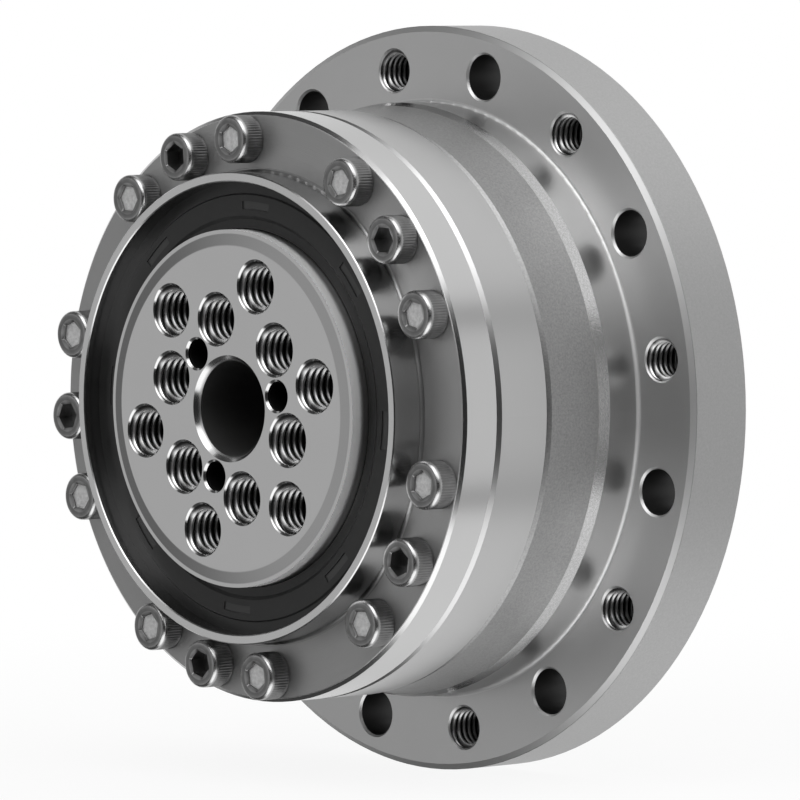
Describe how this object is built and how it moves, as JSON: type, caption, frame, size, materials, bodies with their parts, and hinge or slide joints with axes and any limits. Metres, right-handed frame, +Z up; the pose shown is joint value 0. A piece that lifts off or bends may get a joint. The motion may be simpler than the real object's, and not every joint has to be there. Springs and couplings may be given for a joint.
{
  "type": "strain wave gear",
  "caption": "Cup-type strain wave gear unit: output flange on a crossed roller bearing, flanged housing, toothed cup, internal gear ring and elliptical wave generator with input hub.",
  "frame": {"origin": "centre of the mounting flange's rear face, on the axis of rotation", "axes": "Y is the axis of rotation: the output face looks along -Y and the input side opens towards +Y; +Z up"},
  "size_m": [0.09, 0.0415, 0.09],
  "materials": {
    "ground_steel": "ground, glossy",
    "blasted_steel": "fine bead-blasted, satin",
    "gear_steel": "machined",
    "hardened_steel": "polished",
    "oxide_steel": "dark oxide, worn at edges",
    "spring_steel": "drawn, satin",
    "black_rubber": "soft gloss",
    "pale_nylon": "matte",
    "dark_composite": "matte"
  },
  "bodies": {
    "casing": {"housing": "blasted_steel", "bearing_outer_ring_front": "ground_steel", "bearing_outer_ring_rear": "ground_steel", "housing_oring": "black_rubber", "flange_oring": "black_rubber", "ring_screws": "oxide_steel", "housing_screws": "oxide_steel", "output_oil_seal": "black_rubber", "seal_case": "gear_steel", "seal_garter_spring": "spring_steel", "circular_spline": "gear_steel", "circular_spline_screws": "oxide_steel", "circular_spline_pins": "hardened_steel"},
    "output": {"output_flange": "ground_steel", "bore_seal_cap": "black_rubber", "flexspline": "gear_steel", "boss_clamp_ring": "gear_steel", "boss_screws": "oxide_steel", "boss_dowel_pins": "hardened_steel"},
    "roller_set": {"crossed_rollers_a": "hardened_steel", "crossed_rollers_b": "hardened_steel", "roller_spacers": "pale_nylon"},
    "wave_generator": {"wave_generator_plug": "gear_steel", "wave_bearing_inner_race": "hardened_steel", "wave_bearing_balls": "hardened_steel", "wave_bearing_cage": "pale_nylon", "wave_bearing_outer_race": "hardened_steel", "oldham_insert": "dark_composite", "input_hub": "gear_steel", "hub_set_screws": "oxide_steel", "rub_washer": "dark_composite", "hub_snap_ring": "spring_steel"}
  },
  "joints": [
    {"name": "output_spin", "type": "hinge", "parent": "casing", "child": "output", "pos_m": [0, 0, 0], "axis": [0, 1, 0], "continuous": true},
    {"name": "roller_orbit", "type": "hinge", "parent": "casing", "child": "roller_set", "pos_m": [0, 0, 0], "axis": [0, 1, 0], "continuous": true},
    {"name": "wave_generator_spin", "type": "hinge", "parent": "output", "child": "wave_generator", "pos_m": [0, 0, 0], "axis": [0, 1, 0], "continuous": true, "deforming": ["flexspline"]}
  ],
  "couplings": [
    {"joint": "roller_orbit", "follows": "output_spin", "ratio": 0.47205},
    {"joint": "wave_generator_spin", "follows": "output_spin", "ratio": -51}
  ]
}
